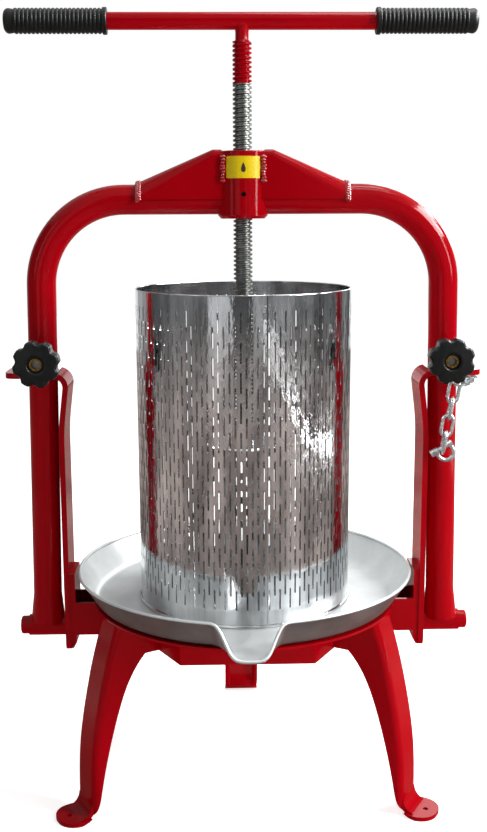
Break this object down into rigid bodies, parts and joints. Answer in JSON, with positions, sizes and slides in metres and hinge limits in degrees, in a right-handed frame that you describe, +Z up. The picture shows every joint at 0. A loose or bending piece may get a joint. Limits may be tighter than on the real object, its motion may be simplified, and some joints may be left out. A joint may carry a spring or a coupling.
{
  "type": "fruit press",
  "caption": "Screw fruit press: slotted round basket in a spouted pan on a three-legged base, under a tilting tubular arch with a T-handled screw and hand-knob clamps.",
  "frame": {"origin": "on the floor, on the screw's axis, at the centre of the circle of the three foot holes", "axes": "+Z up along the screw, -Y towards the front where the spout points, +X to the right along the T-handle and the arch"},
  "size_m": [0.551, 0.472, 0.9078],
  "materials": {
    "red_enamel": "gloss enamel",
    "stainless": "polished perforated stainless",
    "pan_steel": "satin",
    "screw_steel": "machined thread",
    "zinc": "galvanised",
    "brass": "turned",
    "black_plastic": "moulded"
  },
  "bodies": {
    "base": {"base_disc": "red_enamel", "front_skirt": "red_enamel", "rear_skirt": "red_enamel", "cross_channel": "red_enamel", "left_leg": "red_enamel", "right_leg": "red_enamel", "rear_leg": "red_enamel", "left_strap": "red_enamel", "right_strap": "red_enamel", "left_end_plate": "red_enamel", "right_end_plate": "red_enamel", "left_pivot_pin": "screw_steel", "right_pivot_pin": "screw_steel", "left_pivot_screw": "red_enamel", "right_pivot_screw": "red_enamel", "left_thrust_washer": "zinc", "right_thrust_washer": "zinc", "left_clamp_ear": "red_enamel", "right_clamp_ear": "red_enamel", "chain_tab": "zinc", "chain_bolt": "zinc", "chain_washer": "zinc"},
    "pan": {"juice_pan": "pan_steel"},
    "basket_body": {"basket": "stainless"},
    "disc": {"pressing_disc": "stainless"},
    "arch": {"left_arch_tube": "red_enamel", "right_arch_tube": "red_enamel", "screw_nut": "red_enamel", "left_gusset": "red_enamel", "right_gusset": "red_enamel", "left_pivot_lug": "red_enamel", "right_pivot_lug": "red_enamel"},
    "foot": {"pressure_foot": "stainless", "foot_pins": "screw_steel"},
    "press_screw": {"screw": "screw_steel", "handle_bar": "red_enamel", "left_grip": "black_plastic", "right_grip": "black_plastic"},
    "left_clamp_seat": {"left_knob_washer": "zinc"},
    "left_clamp": {"left_knob": "black_plastic", "left_knob_insert": "brass", "left_clamp_stud": "zinc"},
    "right_clamp_seat": {"right_knob_washer": "zinc"},
    "right_clamp": {"right_knob": "black_plastic", "right_knob_insert": "brass", "right_clamp_stud": "zinc"},
    "chain": {"chain_links": "zinc", "shackle_bow": "zinc", "shackle_pin": "zinc"}
  },
  "joints": [
    {"name": "pan_lift", "type": "slide", "parent": "base", "child": "pan", "axis": [0, 0, 1], "range_m": [0, 0.01]},
    {"name": "basket_lift", "type": "slide", "parent": "pan", "child": "basket_body", "axis": [0, 0, 1], "range_m": [0, 0.016]},
    {"name": "disc_lift", "type": "slide", "parent": "basket_body", "child": "disc", "axis": [0, 0, 1], "range_m": [0, 0.03]},
    {"name": "arch_tilt", "type": "hinge", "parent": "base", "child": "arch", "pos_m": [0, 0, 0.1905], "axis": [-1, 0, 0], "range_deg": [0, 13]},
    {"name": "screw_travel", "type": "slide", "parent": "arch", "child": "foot", "axis": [0, 0, 1], "range_m": [-0.072, 0.238]},
    {"name": "screw_spin", "type": "hinge", "parent": "foot", "child": "press_screw", "pos_m": [0, 0, 0.6], "axis": [0, 0, 1], "range_deg": [-5190, 17140]},
    {"name": "left_clamp_travel", "type": "slide", "parent": "base", "child": "left_clamp_seat", "axis": [0, -1, 0], "range_m": [0, 0.018]},
    {"name": "left_clamp_spin", "type": "hinge", "parent": "left_clamp_seat", "child": "left_clamp", "pos_m": [-0.23398, -0.025, 0.5175], "axis": [0, -1, 0], "range_deg": [0, 4325]},
    {"name": "right_clamp_travel", "type": "slide", "parent": "base", "child": "right_clamp_seat", "axis": [0, -1, 0], "range_m": [0, 0.018]},
    {"name": "right_clamp_spin", "type": "hinge", "parent": "right_clamp_seat", "child": "right_clamp", "pos_m": [0.23398, -0.025, 0.5175], "axis": [0, -1, 0], "range_deg": [0, 4325]},
    {"name": "chain_swing", "type": "hinge", "parent": "base", "child": "chain", "pos_m": [0.24262, -0.033, 0.48555], "axis": [0, 1, 0], "range_deg": [-19, 2]}
  ],
  "couplings": [
    {"joint": "screw_spin", "follows": "screw_travel", "rad_per_m": 1256.6},
    {"joint": "left_clamp_spin", "follows": "left_clamp_travel", "rad_per_m": 4188.8},
    {"joint": "right_clamp_spin", "follows": "right_clamp_travel", "rad_per_m": 4188.8}
  ]
}
